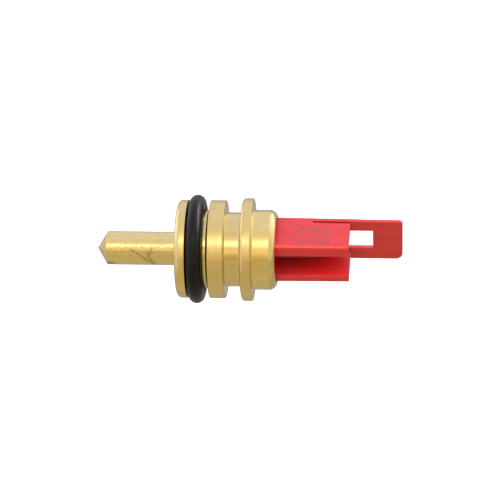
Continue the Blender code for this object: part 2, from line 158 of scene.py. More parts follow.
def cells(xs, ys, zs, solid):
    """The skin of the solid cells of a grid, as a bmesh with its flat faces joined."""
    bm = bmesh.new()
    grid = (xs, ys, zs)
    made = {}

    def vert(place):
        if place not in made:
            made[place] = bm.verts.new([grid[axis][place[axis]] for axis in range(3)])
        return made[place]

    def is_solid(cell):
        inside = all(0 <= cell[axis] < len(grid[axis]) - 1 for axis in range(3))
        return inside and solid(*cell)

    for cell in itertools.product(*(range(len(line) - 1) for line in grid)):
        if not is_solid(cell):
            continue
        for axis, side in itertools.product(range(3), (0, 1)):
            neighbour = list(cell)
            neighbour[axis] += 1 if side else -1
            if is_solid(neighbour):
                continue
            base = list(cell)
            base[axis] += side
            u, v = [other for other in range(3) if other != axis]
            corners = []
            for du, dv in ((0, 0), (1, 0), (1, 1), (0, 1)):
                corner = list(base)
                corner[u] += du
                corner[v] += dv
                corners.append(vert(tuple(corner)))
            bm.faces.new(corners)
    bmesh.ops.recalc_face_normals(bm, faces=bm.faces)
    bmesh.ops.dissolve_limit(
        bm, angle_limit=math.radians(1), verts=bm.verts, edges=bm.edges, delimit={"NORMAL"}
    )
    return bm


# ------------------------------------------------------------- shader helpers
class Nodes:
    """Short calls for building a node tree."""

    def __init__(self, tree):
        self.tree = tree
        self.nodes = tree.nodes

    def add(self, kind, inputs=None, **settings):
        node = self.nodes.new(kind)
        for key, value in settings.items():
            setattr(node, key, value)
        for key, value in (inputs or {}).items():
            self.put(node.inputs[key], value)
        return node

    def put(self, socket, value):
        if isinstance(value, bpy.types.NodeSocket):
            self.tree.links.new(value, socket)
        else:
            socket.default_value = value

    def math(self, operation, a, b=0.0, clamp=False):
        inputs = {0: a, 1: b, 2: 0.0}
        return self.add("ShaderNodeMath", inputs, operation=operation, use_clamp=clamp).outputs[0]

    def mul(self, total, *factors):
        for factor in factors:
            total = self.math("MULTIPLY", total, factor)
        return total

    def plus(self, total, *terms):
        for term in terms:
            total = self.math("ADD", total, term)
        return total

    def minus(self, a, b):
        return self.math("SUBTRACT", a, b)

    def over(self, a, b):
        return self.math("DIVIDE", a, b)

    def length(self, a, b):
        return self.math("SQRT", self.plus(self.mul(a, a), self.mul(b, b)))

    def vector(self, x, y, z):
        return self.add("ShaderNodeCombineXYZ", {0: x, 1: y, 2: z}).outputs[0]

    def stretched(self, parts, factors):
        return self.vector(*(self.mul(part, factor) for part, factor in zip(parts, factors)))

    def split(self, vector):
        return self.add("ShaderNodeSeparateXYZ", {0: vector}).outputs

    def noise(self, vector, scale, detail=3.0, roughness=0.55, distortion=0.0):
        inputs = {
            "Vector": vector,
            "Scale": scale,
            "Detail": detail,
            "Roughness": roughness,
            "Distortion": distortion,
        }
        return self.add("ShaderNodeTexNoise", inputs).outputs["Fac"]

    def ramp(self, value, span=(0.0, 1.0), to=(0.0, 1.0), linear=False):
        """Maps the span, which may run downwards, to the other range, and clamps outside it."""
        inputs = {
            "Value": value,
            "From Min": span[0],
            "From Max": span[1],
            "To Min": to[0],
            "To Max": to[1],
        }
        kind = "LINEAR" if linear else "SMOOTHSTEP"
        return self.add("ShaderNodeMapRange", inputs, interpolation_type=kind).outputs["Result"]

    def mix(self, factor, base, to, opacity=None):
        """Goes from the base colour to the other by the factor, times any opacity."""
        if opacity is not None:
            factor = self.mul(factor, opacity)
        node = self.add("ShaderNodeMix", data_type="RGBA")
        self.put(node.inputs["Factor"], factor)
        for socket, value in zip([s for s in node.inputs if s.type == "RGBA"], (base, to)):
            self.put(socket, (*value, 1.0) if isinstance(value, tuple) else value)
        return [s for s in node.outputs if s.type == "RGBA"][0]

    def gradient(self, factor, stops):
        """A colour ramp through stops of (position, colour)."""
        node = self.add("ShaderNodeValToRGB", {0: factor})
        elements = node.color_ramp.elements
        elements.remove(elements[-1])
        elements[0].position = stops[0][0]
        elements[0].color = (*stops[0][1], 1)
        for position, colour in stops[1:]:
            elements.new(position).color = (*colour, 1)
        return node.outputs["Color"]

    def finish(self, colour, roughness, *relief):
        """Sets the surface; relief is layers of (height, distance in metres, strength)."""
        shader = self.nodes["Principled BSDF"]
        self.put(shader.inputs["Base Color"], colour)
        self.put(shader.inputs["Roughness"], roughness)
        below = {}
        for height, distance, strength in relief:
            inputs = {"Height": height, "Distance": distance, "Strength": strength, **below}
            below = {"Normal": self.add("ShaderNodeBump", inputs).outputs[0]}
        self.put(shader.inputs["Normal"], below["Normal"])


def new_material(name, **principled):
    """The material, its nodes and the position in millimetres."""
    mat = bpy.data.materials.new(name)
    mat.use_nodes = True
    n = Nodes(mat.node_tree)
    for key, value in principled.items():
        n.put(n.nodes["Principled BSDF"].inputs[key.replace("_", " ")], value)
    # every piece sits at the origin, so object space is the frame's space
    coord = n.add("ShaderNodeTexCoord").outputs["Object"]
    inputs = {0: coord, 1: (1000.0, 1000.0, 1000.0)}
    return mat, n, n.add("ShaderNodeVectorMath", inputs, operation="MULTIPLY").outputs[0]


# --------------------------------------------------------------------- brass
VIEW_UP = (0.6177, 0.7864)  # (y, z) of the camera's up direction, across the sensor's axis
# points are (x, distance along VIEW_UP), on the side that faces the camera
SCRATCHES = [
    [(-17.68, -0.26), (-16.55, -0.87), (-15.27, -1.87), (-14.19, -2.30)],
    [(-14.49, 0.06), (-14.91, -0.67), (-15.07, -1.40), (-14.01, -2.30)],
    [(-15.27, -0.72), (-14.45, -0.72)],
]
STAIN = [[(-21.25, -2.24), (-20.40, -2.32)]]
COLLAR_EDGE = (0.60, 0.75)  # x over which the collar's finish fades in


def near_lines(n, x, up, facing, lines, width):
    """1 on the lines, falling to 0 at the width, on the side that faces the camera."""
    total = None
    for line in lines:
        for (x0, up0), (x1, up1) in zip(line[:-1], line[1:]):
            dx, dup = x1 - x0, up1 - up0
            from_x, from_up = n.minus(x, x0), n.minus(up, up0)
            along = n.plus(n.mul(from_x, dx), n.mul(from_up, dup))
            share = n.math("DIVIDE", along, dx * dx + dup * dup, clamp=True)
            off_x = n.minus(from_x, n.mul(share, dx))
            off_up = n.minus(from_up, n.mul(share, dup))
            near = n.ramp(n.length(off_x, off_up), span=(width, 0.0))
            total = near if total is None else n.math("MAXIMUM", total, near)
    return n.mul(total, n.ramp(facing, span=(0.1, 0.4)))


def brass():
    mat, n, p = new_material("turned_brass", Metallic=1.0)
    x, y, z = n.split(p)
    r = n.length(y, z)
    # tool marks run round the axis: they change along x and r, hardly with the angle
    round_y = n.over(y, n.math("MAXIMUM", r, 0.01))
    marks = n.stretched((x, r, round_y), (1.0, 1.0, 0.035))
    coarse = n.noise(marks, scale=5.5, detail=2.0, roughness=0.6)
    fine = n.noise(marks, scale=26.0, detail=3.0, roughness=0.7)
    # handling marks and tarnish, in soft patches
    patches = n.noise(p, scale=0.55, detail=5.0, roughness=0.62, distortion=0.4)
    mottle = n.noise(p, scale=2.6, detail=4.0, roughness=0.6)
    spots = n.ramp(n.noise(p, scale=4.2, detail=2.0), span=(0.70, 0.80))
    base = n.mix(
        n.ramp(patches, span=(0.35, 0.68)), (0.885, 0.715, 0.305), to=(0.830, 0.642, 0.260)
    )
    pale = n.ramp(mottle, span=(0.42, 0.75), to=(0.0, 0.35))
    base = n.mix(pale, base, to=(0.80, 0.64, 0.31))
    turned = n.ramp(coarse, span=(0.35, 0.7), to=(0.0, 0.18))
    base = n.mix(turned, base, to=(0.72, 0.55, 0.20))
    base = n.mix(spots, base, to=(0.45, 0.28, 0.10), opacity=0.35)
    # the probe and the collar are brighter
    on_probe = n.ramp(x, span=(-10.80, -10.90))
    base = n.mix(on_probe, base, to=(0.94, 0.785, 0.36), opacity=0.40)
    base = n.mix(n.ramp(x, span=COLLAR_EDGE, to=(0.0, 0.35)), base, to=(0.96, 0.79, 0.27))
    # scratches with ragged, broken edges and a stain, all on the probe
    up_y, up_z = VIEW_UP
    up = n.plus(n.mul(y, up_y), n.mul(z, up_z))
    facing = n.minus(n.mul(z, up_y), n.mul(y, up_z))
    wander = n.minus(n.noise(p, scale=2.4, detail=4.0, roughness=0.7), 0.5)
    ragged = n.plus(up, n.mul(wander, 0.50))
    scratch = n.mul(near_lines(n, x, ragged, facing, SCRATCHES, width=0.28), on_probe)
    broken = n.ramp(n.noise(p, scale=3.1, detail=3.0), span=(0.34, 0.60), to=(0.15, 1.0))
    scratch = n.mul(scratch, broken)
    stain = near_lines(n, x, up, facing, STAIN, width=0.30)
    blotch = n.noise(p, scale=4.5, detail=4.0, roughness=0.7)
    stain = n.mul(stain, n.ramp(blotch, span=(0.36, 0.50)))
    dirt = n.math("MAXIMUM", n.mul(scratch, 0.68), n.mul(stain, 0.75))
    base = n.mix(dirt, base, to=(0.22, 0.135, 0.042))
    # the rims of the flanges are worn duller, and the collar is turned less finely
    worn = n.ramp(r, span=(6.25, 6.95))
    handled = n.ramp(patches, span=(0.4, 0.7), to=(0.0, 0.08))
    rough = n.plus(
        n.ramp(worn, to=(0.14, 0.28), linear=True),
        n.ramp(coarse, span=(0.3, 0.7), to=(-0.03, 0.04), linear=True),
        n.mul(handled, n.ramp(worn, to=(0.4, 1.0))),
        n.mul(dirt, 0.25),
        n.ramp(x, span=COLLAR_EDGE, to=(0.0, 0.06)),
    )
    # the mottle and the dents are deeper on the probe
    n.finish(
        base,
        rough,
        (fine, 4e-6, 0.55),
        (coarse, 6e-6, 0.5),
        (mottle, n.ramp(on_probe, to=(12e-6, 30e-6)), 0.35),
        (n.noise(p, scale=1.3, detail=3.0), n.ramp(on_probe, to=(8e-6, 140e-6)), 0.5),
        (scratch, 20e-6, -0.8),
    )
    return mat


# -------------------------------------------------------------------- rubber
def rubber():
    mat, n, p = new_material("black_rubber", Specular_IOR_Level=0.23)
    cloud = n.noise(p, scale=0.9, detail=4.0)
    grain = n.noise(p, scale=22.0, detail=3.0)
    dust = n.ramp(n.noise(p, scale=7.5, detail=1.0), span=(0.765, 0.80))
    base = n.mix(
        n.ramp(cloud, span=(0.3, 0.7)), (0.0042, 0.0034, 0.0030), to=(0.0070, 0.0062, 0.0060)
    )
    base = n.mix(dust, base, to=(0.16, 0.14, 0.11), opacity=0.35)
    rough = n.ramp(cloud, span=(0.3, 0.7), to=(0.27, 0.36), linear=True)
    n.finish(base, rough, (grain, 6e-6, 0.5), (dust, 10e-6, 0.6))
    return mat


# --------------------------------------------------------------- red plastic
DOT_PITCH = (0.255, 0.285)  # along x and y
BLOCK = 5.0  # columns per block, of which the last is empty
MARK_ROWS = ((7.2, 12.1, -0.50, 1.50), (6.6, 12.4, -2.70, -0.85))  # x0, x1, y0, y1
MARK_SOFT = 0.05  # half width of the fade at the ends of a row


def ink_mark(n, p, x, y, z):
    """Rows of printed dots on the top face, in blocks that form no letters or digits."""
    places = list(zip((x, y), DOT_PITCH))
    column, row = [n.math("FLOOR", n.over(place, pitch)) for place, pitch in places]
    seed = n.vector(column, row, 3.7)
    chance = n.add("ShaderNodeTexWhiteNoise", {"Vector": seed}, noise_dimensions="3D")
    off_x, off_y = [
        n.math("ABSOLUTE", n.minus(n.math("FRACT", n.over(place, pitch)), 0.5))
        for place, pitch in places
    ]
    round_dot = n.ramp(n.length(off_x, off_y), span=(0.62, 0.30))
    dot = n.mul(round_dot, n.ramp(chance.outputs["Value"], span=(0.40, 0.44)))
    place = n.mul(n.math("FRACT", n.over(n.plus(column, 0.5), BLOCK)), BLOCK)
    in_block = n.math("LESS_THAN", place, BLOCK - 1)
    rows = [
        n.mul(
            n.ramp(x, span=(x0 - MARK_SOFT, x0 + MARK_SOFT)),
            n.ramp(x, span=(x1 + MARK_SOFT, x1 - MARK_SOFT)),
            n.ramp(y, span=(y0 - MARK_SOFT, y0 + MARK_SOFT)),
            n.ramp(y, span=(y1 + MARK_SOFT, y1 - MARK_SOFT)),
        )
        for x0, x1, y0, y1 in MARK_ROWS
    ]
    on_top = n.ramp(z, span=(3.2, 3.3))
    patchy = n.ramp(n.noise(p, scale=3.0, detail=2.0), span=(0.25, 0.6), to=(0.60, 1.0))
    return n.mul(dot, in_block, n.plus(*rows), on_top, patchy)


def plastic(name, printed, lower):
    """Red nylon, with or without the ink mark; lower is the z of its lowest face, where its shade
    is painted.
    """
    mat, n, p = new_material(name, IOR=1.58)
    x, y, z = n.split(p)
    flow = n.noise(n.vector(n.mul(x, 0.35), y, z), scale=0.8, detail=3.0)
    grain = n.noise(p, scale=16.0, detail=3.0, roughness=0.6)
    soft = n.noise(p, scale=1.6, detail=2.0)
    base = n.mix(
        n.ramp(flow, span=(0.3, 0.7)), (0.690, 0.0315, 0.0350), to=(0.640, 0.0275, 0.0310)
    )
    # painted light: the front faces run lighter towards the top, as if lit from above
    front = n.mul(n.ramp(y, span=(-3.40, -3.50)), n.ramp(z, span=(2.65, 3.30)))
    base = n.mix(front, base, to=(0.95, 0.040, 0.034), opacity=0.85)
    # painted highlight: their upper edge is lighter still, along the rounded edge
    edge = n.mul(n.ramp(y, span=(-3.20, -3.32)), n.ramp(z, span=(3.16, 3.28)))
    base = n.mix(edge, base, to=(1.0, 0.150, 0.095), opacity=0.42)
    # painted shade: the lowest edges are darkened and their specular turned down, where the
    # underside falls into shade
    painted_underside_shade = n.ramp(z, span=(lower + 0.20, lower + 0.08))
    base = n.mix(painted_underside_shade, base, to=(0.16, 0.040, 0.042), opacity=0.70)
    specular = n.nodes["Principled BSDF"].inputs["Specular IOR Level"]
    n.put(specular, n.ramp(painted_underside_shade, to=(0.5, 0.05), linear=True))
    # painted bounce light: the red is brighter and deeper inside the socket, towards its mouth
    socket = n.mul(
        n.mul(n.ramp(z, span=(1.75, 1.55)), n.ramp(z, span=(-2.10, -1.95))),
        n.mul(n.ramp(y, span=(-3.62, -3.40)), n.ramp(y, span=(2.80, 2.55))),
        n.ramp(x, span=(5.0, 11.5)),
        n.ramp(x, span=(15.0, 12.0), to=(0.45, 0.85)),
    )
    base = n.mix(socket, base, to=(0.95, 0.018, 0.018))
    if not printed:
        # painted highlight: a lighter band below the tongue's window, standing in for a lead-in
        # chamfer that catches the light
        painted_lead_in_highlight = n.mul(
            n.ramp(z, span=(-1.88, -1.72)),
            n.ramp(z, span=(-1.50, -1.60)),
            n.mul(n.ramp(x, span=(14.2, 14.4)), n.ramp(x, span=(18.6, 18.4))),
            n.ramp(y, span=(3.60, 3.55)),
        )
        base = n.mix(painted_lead_in_highlight, base, to=(1.0, 0.085, 0.075), opacity=0.60)
    rough = n.ramp(soft, span=(0.3, 0.7), to=(0.36, 0.46), linear=True)
    if printed:
        ink = ink_mark(n, p, x, y, z)
        base = n.mix(ink, base, to=(0.22, 0.073, 0.078), opacity=0.92)
        rough = n.plus(rough, n.mul(ink, 0.1))
    n.finish(base, rough, (grain, 5e-6, 0.35), (soft, 20e-6, 0.25))
    return mat


# ------------------------------------------------------------ plain finishes
def simple(
    name, dark, light, scale, rough, metallic=0.0, bump=0.3, stretch=(1.0, 1.0, 1.0), **principled
):
    """A finish with two shades, uneven roughness and a fine relief."""
    mat, n, p = new_material(name, Metallic=metallic, **principled)
    grain = n.stretched(n.split(p), stretch)
    broad = n.noise(grain, scale=scale * 0.3, detail=3.0)
    fine = n.noise(grain, scale=scale, detail=4.0)
    n.finish(
        n.mix(n.ramp(broad, span=(0.3, 0.7)), dark, to=light),
        n.ramp(fine, span=(0.3, 0.7), to=rough, linear=True),
        (fine, 6e-6, bump),
    )
    return mat


TONGUE_Y, TONGUE_Z, TONGUE_END = (2.93, 3.59), (-3.71, 3.26), 22.955

BRASS = brass()
RUBBER = rubber()
RED = plastic("red_nylon_printed", printed=True, lower=-3.20)
RED_PLAIN = plastic("red_nylon", printed=False, lower=TONGUE_Z[0])
# the pins' metal is painted a dark red, standing in for the shade and the red reflections inside
# the socket
PIN_METAL_PAINTED_SHADE = simple(
    "pin_metal_painted_dark_red", (0.265, 0.026, 0.023), (0.35, 0.050, 0.040),
    scale=18.0, rough=(0.26, 0.40), metallic=1.0, bump=0.4, stretch=(0.15, 1, 1),
)

# ---------------------------------------------------------------- brass body
COLLAR_R = 6.03
LIP_START, LIP_X, LIP_R = 3.28, 4.19, 5.08  # where the rolled lip starts, and its end
LIP_BREAK = math.radians(30)
LIP_STEPS = 14
# (x, r, fillet radius), from the tip along the outside to the lip
BODY_OUTSIDE = [
    (-22.975, 0.0, 0.0),
    (-22.95, 0.07, 0.0),
    (-22.905, 0.13, 0.0),
    (-21.44, 2.53, 0.05),
    (-10.775, 2.53, 0.12),
    (-10.775, 7.4, 0.80),
    (-9.195, 7.4, 0.06),
    (-9.195, 5.87, 0.12),
    (-5.855, 5.87, 0.38),
    (-5.855, 7.4, 0.16),
    (-3.495, 7.4, 0.09),
    (-3.495, 5.6, 0.19),
    (-1.005, 5.6, 0.30),
    (-1.005, 7.75, 0.48),
    (0.625, 7.75, 0.10),
    (0.625, COLLAR_R, 0.28),
    (LIP_START, COLLAR_R, 0.0),
]
# the same columns, from the lip through the bore to its end inside the tip
BODY_INSIDE = [
    (LIP_X, LIP_R, 0.0),
    (LIP_X - 0.03, 5.03, 0.0),
    (LIP_X - 0.10, 5.0, 0.0),
    (3.605, 5.07, 0.0),
    (3.335, 5.4, 0.0),
    (0.7, 5.4, 0.0),
    (0.7, 4.2, 0.0),
    (-8.25, 4.2, 0.0),
    (-8.25, 1.9, 0.0),
    (-20.05, 1.9, 0.0),
    (-21.15, 0.0, 0.0),
]


def lip_profile():
    """The lip rolled over the housing's flange: an elliptic arc that starts with a break."""
    height = (COLLAR_R - LIP_R) / math.cos(LIP_BREAK)
    reach = (LIP_X - LIP_START) / (1 - math.sin(LIP_BREAK))
    points = []
    for k in range(1, LIP_STEPS):
        turn = LIP_BREAK + (math.radians(90) - LIP_BREAK) * k / LIP_STEPS
        x = LIP_X - reach * (1 - math.sin(turn))
        points.append((x, LIP_R + height * math.cos(turn), 0.0))
    return points


body_profile = fillet(BODY_OUTSIDE + lip_profile() + BODY_INSIDE, steps=10)
body_mesh = lathe("brass_body_turned", body_profile, segments=224, sharp=11)
add_piece("brass_body_turned", body_mesh, BRASS, replaces=["brass_body"])

# -------------------------------------------------------------------- O-ring
RING_X, RING_MAJOR, RING_MINOR = -7.85, 7.05, 1.15
RING_POINTS = 56
FLASH_BASE, FLASH_HEIGHT, FLASH_WIDTH = 0.010, 0.012, 0.035  # the width is a sine


def ring_profile():
    """The ring's section, with the fine flash line of its mould on the outside and inside."""
    points = []
    for k in range(RING_POINTS):
        turn = 2 * math.pi * k / RING_POINTS
        flash = FLASH_HEIGHT * math.exp(-((math.sin(turn) / FLASH_WIDTH) ** 2))
        r = RING_MINOR - FLASH_BASE + flash
        points.append((RING_X + r * math.sin(turn), RING_MAJOR + r * math.cos(turn)))
    return points


ring_mesh = lathe("o_ring_seal", ring_profile(), segments=224, sharp=60)
ring = add_piece("o_ring_seal", ring_mesh, RUBBER, replaces=["o_ring"])

# ----------------------------------------------------------- connector shell
DRAFT, DRAFT_START = 0.06, 2.75  # each side's draft at the mouth, and the x it starts from
ROOT_X, MOUTH_X = 9.46, 15.065
SHELL_Y, SHELL_Z = (-3.58, 3.65), (-3.225, 3.46)
SHELL_SIDES = ((1, SHELL_Y), (2, SHELL_Z))  # axis, its two outer planes
BEVEL_WIDTH, BEVEL_SEGMENTS = 0.35, 5


def shell_solid(i, j, k):
    """Whether a cell of the shell's grid is solid, counting cells along x, y and z."""
    if i == 0:
        return True
    behind_tongue_root = i == 2 and j == 2
    socket = j == 1 and k in (1, 2)
    front_slot = j == 0 and k == 1
    return not (behind_tongue_root or socket or front_slot)


def at(value, place):
    return abs(value - place) < 1e-6


def edge_weight(a, b):
    """The share of the bevel width for the edge between two corners."""
    outer = sum(
        any(at(a[axis], side) and at(b[axis], side) for side in sides)
        for axis, sides in SHELL_SIDES
    )
    if at(a.x, ROOT_X) and at(b.x, ROOT_X):
        return 0.0
    if all(at(v.y, SHELL_Y[0]) and at(v.z, SHELL_Z[1]) for v in (a, b)):
        return 1.0  # the upper front edge
    if outer == 2:
        return 0.56
    if at(a.x, MOUTH_X) and at(b.x, MOUTH_X):
        return 0.26
    return 0.28 if outer == 1 else 0.20


def shell_mesh():
    bm = cells(
        [3.05, 3.75, ROOT_X, MOUTH_X],
        [SHELL_Y[0], -2.60, 2.40, SHELL_Y[1]],
        [SHELL_Z[0], -1.98, 1.58, 2.38, SHELL_Z[1]],
        shell_solid,
    )
    weights = bm.edges.layers.float.new("bevel_weight_edge")
    for edge in bm.edges:
        if edge.calc_face_angle(0.0) >= math.radians(20):
            edge[weights] = edge_weight(*(v.co for v in edge.verts))
    for v in bm.verts:
        # the upper wall ends a little askew: its lower front edge stands proud of the mouth
        if at(v.co.x, MOUTH_X) and v.co.z > 1.5:
            v.co.x += 0.06 if v.co.z > 1.9 else 0.22
        draft = DRAFT * ((v.co.x - DRAFT_START) / (MOUTH_X - DRAFT_START))
        for axis, (low, high) in SHELL_SIDES:
            if at(v.co[axis], low):
                v.co[axis] += draft
            elif at(v.co[axis], high):
                v.co[axis] -= draft
        v.co *= MM
    mesh = bpy.data.meshes.new("connector_shell")
    bm.to_mesh(mesh)
    bm.free()
    for poly in mesh.polygons:
        poly.use_smooth = True
    obj = add_object("edges", mesh)
    bevel = obj.modifiers.new("bevel", "BEVEL")
    bevel.width = mm(BEVEL_WIDTH)
    bevel.segments = BEVEL_SEGMENTS
    bevel.limit_method = "WEIGHT"
    bevel.miter_outer = "MITER_ARC"
    bevel.harden_normals = True
    weight_normals(obj)
    rounded = applied(obj)
    rounded.name = "connector_shell"
    return rounded


add_piece("connector_shell", shell_mesh(), RED, replaces=["connector_housing"])

# ------------------------------------------------------------ connector base
# (x, r, fillet radius)
BASE_PROFILE = [
    (3.255, 0.0, 0.0),
    (3.255, 5.35, 0.12),
    (0.755, 5.35, 0.12),
    (0.755, 4.14, 0.1),
    (-2.45, 4.14, 0.25),
    (-2.45, 0.0, 0.0),
]
base_mesh = lathe("connector_base", fillet(BASE_PROFILE), segments=128)
add_piece("connector_base", base_mesh, RED_PLAIN)

# -------------------------------------------------------------- latch tongue
TONGUE_ROUND = 0.10  # radius of its long edges
ROOT_RISE = 0.10  # how much higher its top is towards the root
WINDOW_X, WINDOW_Z, WINDOW_ROUND = (14.35, 18.46), (-1.60, 1.53), 0.10
CUT_X, CUTS = (9.3, 12.9), 25
# (x, z, fillet radius)
TONGUE_OUTLINE = [
    (9.15, -3.12, 0.0),
    (9.50, -3.22, 0.3),
    (10.4, TONGUE_Z[0], 0.8),
    (TONGUE_END - 0.06, TONGUE_Z[0], 1.05),
    (TONGUE_END, TONGUE_Z[1], 0.55),
    (18.0, TONGUE_Z[1], 0.5),
    (14.6, TONGUE_Z[1] + ROOT_RISE, 0.5),
    (10.1, TONGUE_Z[1] + ROOT_RISE, 0.8),
    (9.50, 3.40, 0.3),
    (9.15, 3.30, 0.0),
]
WINDOW_OUTLINE = [
    (WINDOW_X[i], WINDOW_Z[j], WINDOW_ROUND) for i, j in ((0, 0), (0, 1), (1, 1), (1, 0))
]


def tongue_plate():
    """The flat plate with its window, lying in the XY plane."""
    curve = bpy.data.curves.new("tongue_curve", "CURVE")
    curve.dimensions = "2D"
    curve.fill_mode = "BOTH"
    curve.extrude = mm((TONGUE_Y[1] - TONGUE_Y[0]) / 2 - TONGUE_ROUND)
    curve.bevel_depth = mm(TONGUE_ROUND)
    curve.bevel_resolution = 3
    curve.offset = -mm(TONGUE_ROUND)
    for loop in (fillet(TONGUE_OUTLINE, steps=12), fillet(WINDOW_OUTLINE)):
        spline = curve.splines.new("POLY")
        spline.points.add(len(loop) - 1)
        for point, (u, v) in zip(spline.points, loop):
            point.co = (mm(u), mm(v), 0.0, 1.0)
        spline.use_cyclic_u = True
    return applied(add_object("tongue_curve", curve))


def tongue_mesh():
    mesh = tongue_plate()
    bm = bmesh.new()
    bm.from_mesh(mesh)
    bmesh.ops.remove_doubles(bm, verts=bm.verts, dist=1e-7)
    # stand the plate upright at the back
    to_back = Matrix.Translation((0, mm((TONGUE_Y[0] + TONGUE_Y[1]) / 2), 0))
    upright = Matrix.Rotation(math.pi / 2, 4, "X")
    bmesh.ops.transform(bm, matrix=to_back @ upright, verts=bm.verts)
    bmesh.ops.dissolve_limit(bm, angle_limit=math.radians(0.5), verts=bm.verts, edges=bm.edges)
    # cuts across the tongue, in even steps near its root
    for k in range(1, CUTS + 1):
        x = CUT_X[0] + (CUT_X[1] - CUT_X[0]) * k / CUTS
        bmesh.ops.bisect_plane(
            bm,
            geom=bm.verts[:] + bm.edges[:] + bm.faces[:],
            plane_co=(mm(x), 0, 0),
            plane_no=(1, 0, 0),
            dist=1e-8,
        )
    mesh.name = "latch_tongue_skin"
    write_smooth(bm, mesh, sharp=40)
    obj = add_object("latch_tongue_skin", mesh)
    weight_normals(obj)
    mesh = applied(obj)
    mesh.name = "latch_tongue_skin"
    return mesh


tongue = add_piece(
    "latch_tongue_skin",
    tongue_mesh(),
    RED_PLAIN,
    body=None,
    replaces=["latch_tongue"],
)
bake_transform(tongue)

# ------------------------------------------------------------- terminal pins
PIN_PITCH = 2.54
PIN_CORNER = 0.82  # corner radius over the smaller half size
# (x, half width, half height, how far it sits below the axis)
PIN_SECTIONS = [
    (-5.05, 0.25, 0.25, 0.0),
    (-2.5, 0.25, 0.25, 0.0),
    (-2.4, 0.5, 0.32, 0.0),
    (-1.2, 0.5, 0.32, 0.0),
    (-1.15, 0.32, 0.32, 0.0),
    (1.9, 0.32, 0.32, 0.0),
    (3.1, 0.32, 0.32, 0.12),
    (10.75, 0.32, 0.32, 0.12),
    (10.85, 0.31, 0.31, 0.12),
    (11.29, 0.18, 0.16, 0.12),
    (11.35, 0.13, 0.11, 0.12),
]


def pin_mesh(name, y):
    bm = bmesh.new()
    loops = []
    for x, wide, high, drop in PIN_SECTIONS:
        corner = min(wide, high) * PIN_CORNER
        signs = ((-1, -1), (1, -1), (1, 1), (-1, 1))
        loop = fillet([(i * wide, j * high, corner) for i, j in signs], steps=5)
        loops.append([bm.verts.new((mm(x), mm(y + u), mm(v - drop))) for u, v in loop])
    for a, b in zip(loops[:-1], loops[1:]):
        for k in range(len(a)):
            after = (k + 1) % len(a)
            bm.faces.new((a[k], a[after], b[after], b[k]))
    bm.faces.new(loops[0])
    bm.faces.new(loops[-1])
    return write_smooth(bm, bpy.data.meshes.new(name), sharp=32)


for side, label in ((-1, "a"), (1, "b")):
    pin = pin_mesh(f"pin_{label}", side * PIN_PITCH / 2)
    add_piece(f"pin_{label}", pin, PIN_METAL_PAINTED_SHADE, replaces=[f"terminal_pin_{label}"])

# --------------------------------------------- materials for the inner parts
# by the start of the part's name; the two colours are the dark and the light shade
INNER = {
    "thermistor_chip": simple(
        "chip_ceramic", (0.05, 0.05, 0.055), (0.11, 0.11, 0.12), scale=14.0, rough=(0.5, 0.75)
    ),
    "thermistor_bead": simple(
        "bead_glaze", (0.05, 0.14, 0.08), (0.10, 0.22, 0.13),
        scale=5.0, rough=(0.08, 0.2), Coat_Weight=0.5,
    ),
    "lead_wire": simple(
        "nickel_wire", (0.55, 0.54, 0.50), (0.72, 0.70, 0.66),
        scale=12.0, rough=(0.2, 0.4), metallic=1.0, bump=0.4, stretch=(0.2, 1, 1),
    ),
    "lead_sleeve": simple(
        "ptfe_sleeve", (0.78, 0.77, 0.73), (0.88, 0.87, 0.84), scale=6.0, rough=(0.4, 0.55)
    ),
    "crimp_ferrule": simple(
        "tinned_copper", (0.58, 0.50, 0.42), (0.74, 0.69, 0.62),
        scale=9.0, rough=(0.25, 0.45), metallic=1.0, bump=0.6,
    ),
    "shrink_tube": simple(
        "shrink_tube", (0.018, 0.018, 0.018), (0.04, 0.04, 0.04),
        scale=8.0, rough=(0.5, 0.7), bump=0.6,
    ),
    "pocket_liner": simple(
        "polyimide_film", (0.42, 0.18, 0.02), (0.60, 0.30, 0.05), scale=3.0, rough=(0.15, 0.3)
    ),
    "tip_compound": simple(
        "thermal_paste", (0.70, 0.70, 0.68), (0.84, 0.84, 0.82),
        scale=7.0, rough=(0.6, 0.8), bump=0.8,
    ),
    "resin_fill": simple(
        "cast_resin", (0.05, 0.045, 0.04), (0.10, 0.09, 0.08),
        scale=2.5, rough=(0.2, 0.4), bump=0.5,
    ),
}
for name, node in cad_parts.items():
    for start, material in INNER.items():
        if name.startswith(start):
            node.data.materials.clear()
            node.data.materials.append(material)

# --------------------------------------------------------------------- floor
FLOOR_Z, FLOOR_HALF = -0.034, 4.0
TABLE_Y = (-0.30, 0.12)
# (y, colour): what the sensor sees of the table, warm in front and cooler behind
TABLE_COLOURS = [
    (-0.280, (0.569, 0.462, 0.273)),
    (-0.073, (0.562, 0.475, 0.303)),
    (-0.027, (0.569, 0.508, 0.383)),
    (-0.004, (0.504, 0.468, 0.373)),
    (0.010, (0.466, 0.449, 0.490)),
    (0.100, (0.450, 0.450, 0.500)),
]


